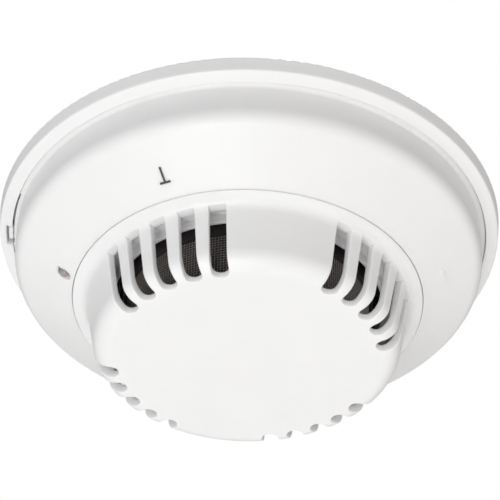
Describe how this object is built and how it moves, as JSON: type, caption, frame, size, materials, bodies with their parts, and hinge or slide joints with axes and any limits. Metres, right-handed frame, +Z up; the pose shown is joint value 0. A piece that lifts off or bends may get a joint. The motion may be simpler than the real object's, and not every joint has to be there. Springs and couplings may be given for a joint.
{
  "type": "heat detector",
  "caption": "Round ceiling fire detector: shallow base, twist-in conical head with heat beads and a screened optical chamber, and a slotted dome cover.",
  "frame": {"origin": "centre of the box screw pattern in the ceiling face of the base", "axes": "+Z up into the ceiling along the detector's axis, so the detector hangs towards -Z; -Y is the side with the index mark nearest the viewer, +X to its right"},
  "size_m": [0.155, 0.155, 0.0498],
  "materials": {
    "white_abs": "satin",
    "grey_abs": "satin",
    "black_abs": "matte",
    "brass_strip": "satin",
    "zinc_steel": "satin",
    "board_laminate": "satin",
    "chip_epoxy": "matte",
    "capacitor_can": "satin",
    "relay_case": "satin",
    "clear_glass": "clear",
    "red_lens": "gloss",
    "clear_pipe": "gloss",
    "blue_lens": "gloss",
    "dark_lens": "gloss",
    "screen_wire": "satin",
    "bead_glass": "gloss",
    "mark_ink": "matte"
  },
  "bodies": {
    "base": {"base_plate": "white_abs", "terminal_clips": "brass_strip", "clamp_plates": "zinc_steel", "terminal_screws": "zinc_steel"},
    "lever": {"lock_lever": "white_abs"},
    "head": {"head_housing": "white_abs", "head_chassis": "grey_abs", "chassis_screws": "zinc_steel", "contact_blades": "brass_strip", "circuit_board": "board_laminate", "microcontroller": "chip_epoxy", "amplifier_chip": "chip_epoxy", "chip_resistors": "chip_epoxy", "electrolytic_capacitors": "capacitor_can", "surge_diodes": "chip_epoxy", "alarm_relay": "relay_case", "reed_switch": "clear_glass", "status_led": "red_lens", "led_light_pipe": "clear_pipe", "chamber_base": "black_abs", "chamber_cap": "black_abs", "optics_holder": "black_abs", "emitter_led": "blue_lens", "photodiode": "dark_lens", "screen_frame": "black_abs", "insect_screen": "screen_wire", "thermistor_beads": "bead_glass", "thermistor_leads": "zinc_steel", "index_mark": "mark_ink"},
    "cover": {"dome_cover": "white_abs"}
  },
  "joints": [
    {"name": "head_twist", "type": "hinge", "parent": "base", "child": "head", "pos_m": [0, 0, 0], "axis": [0, 0, -1], "range_deg": [0, 12]},
    {"name": "cover_pull", "type": "slide", "parent": "head", "child": "cover", "axis": [0, 0, -1], "range_m": [0, 0.03]},
    {"name": "lever_flex", "type": "hinge", "parent": "base", "child": "lever", "pos_m": [-0.07213, -0.01865, -0.0034], "axis": [0, 0, 1], "range_deg": [0, 2], "stiffness_Nm_per_rad": 1}
  ]
}
